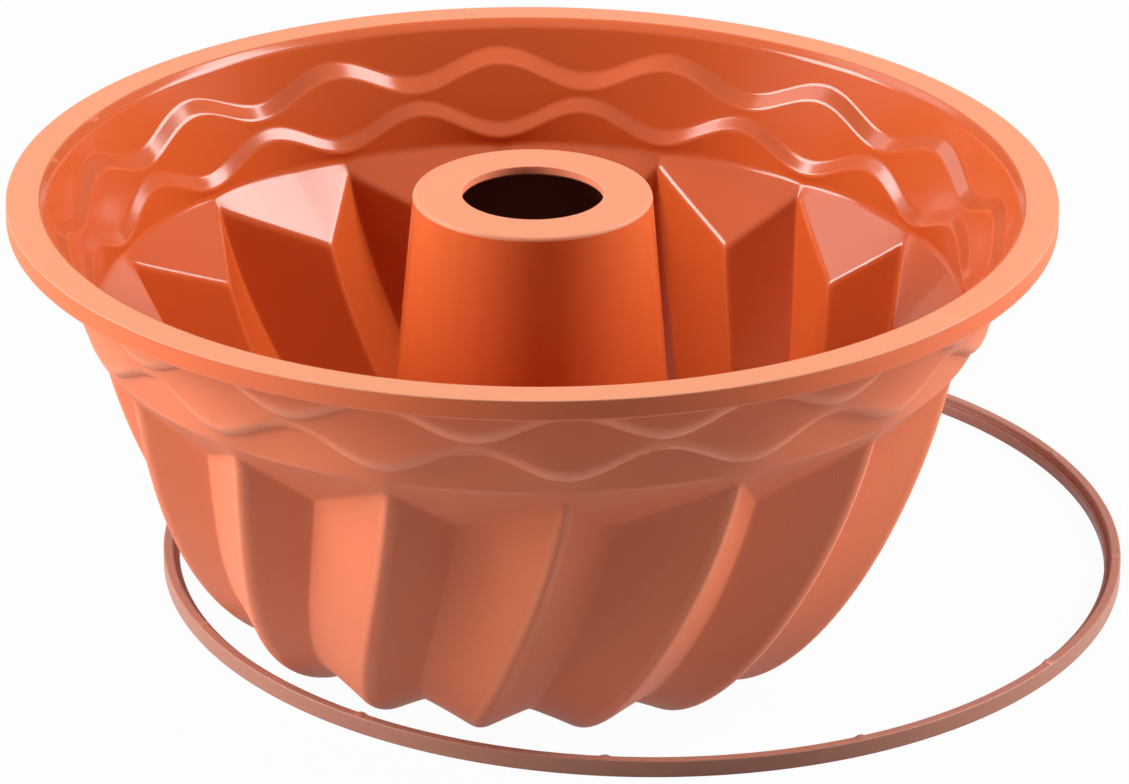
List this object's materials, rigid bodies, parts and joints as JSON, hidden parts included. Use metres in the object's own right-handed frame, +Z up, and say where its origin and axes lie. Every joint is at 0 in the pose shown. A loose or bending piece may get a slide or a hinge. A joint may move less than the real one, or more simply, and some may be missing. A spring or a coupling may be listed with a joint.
{
  "type": "silicone bundt mould",
  "caption": "Deep round silicone cake mould with twisted flutes, wavy collar, flat rim and hollow centre tube, and a loose stiffening ring that fits under its rim.",
  "frame": {"origin": "middle of the footprint of the mould and its support ring together, on the table they stand on", "axes": "+Z up along the mould's axis and out of its open mouth, +X to the right and +Y to the back of the picture"},
  "size_m": [0.2572, 0.2737, 0.108],
  "materials": {
    "silicone": "satin",
    "hoop_plastic": "matte"
  },
  "bodies": {
    "ring": {"support_ring": "hoop_plastic"},
    "mould": {"silicone_mould": "silicone"}
  },
  "joints": [
    {"name": "mould_lift", "type": "slide", "parent": "ring", "child": "mould", "axis": [0, 0, 1], "range_m": [0, 0.12]}
  ]
}
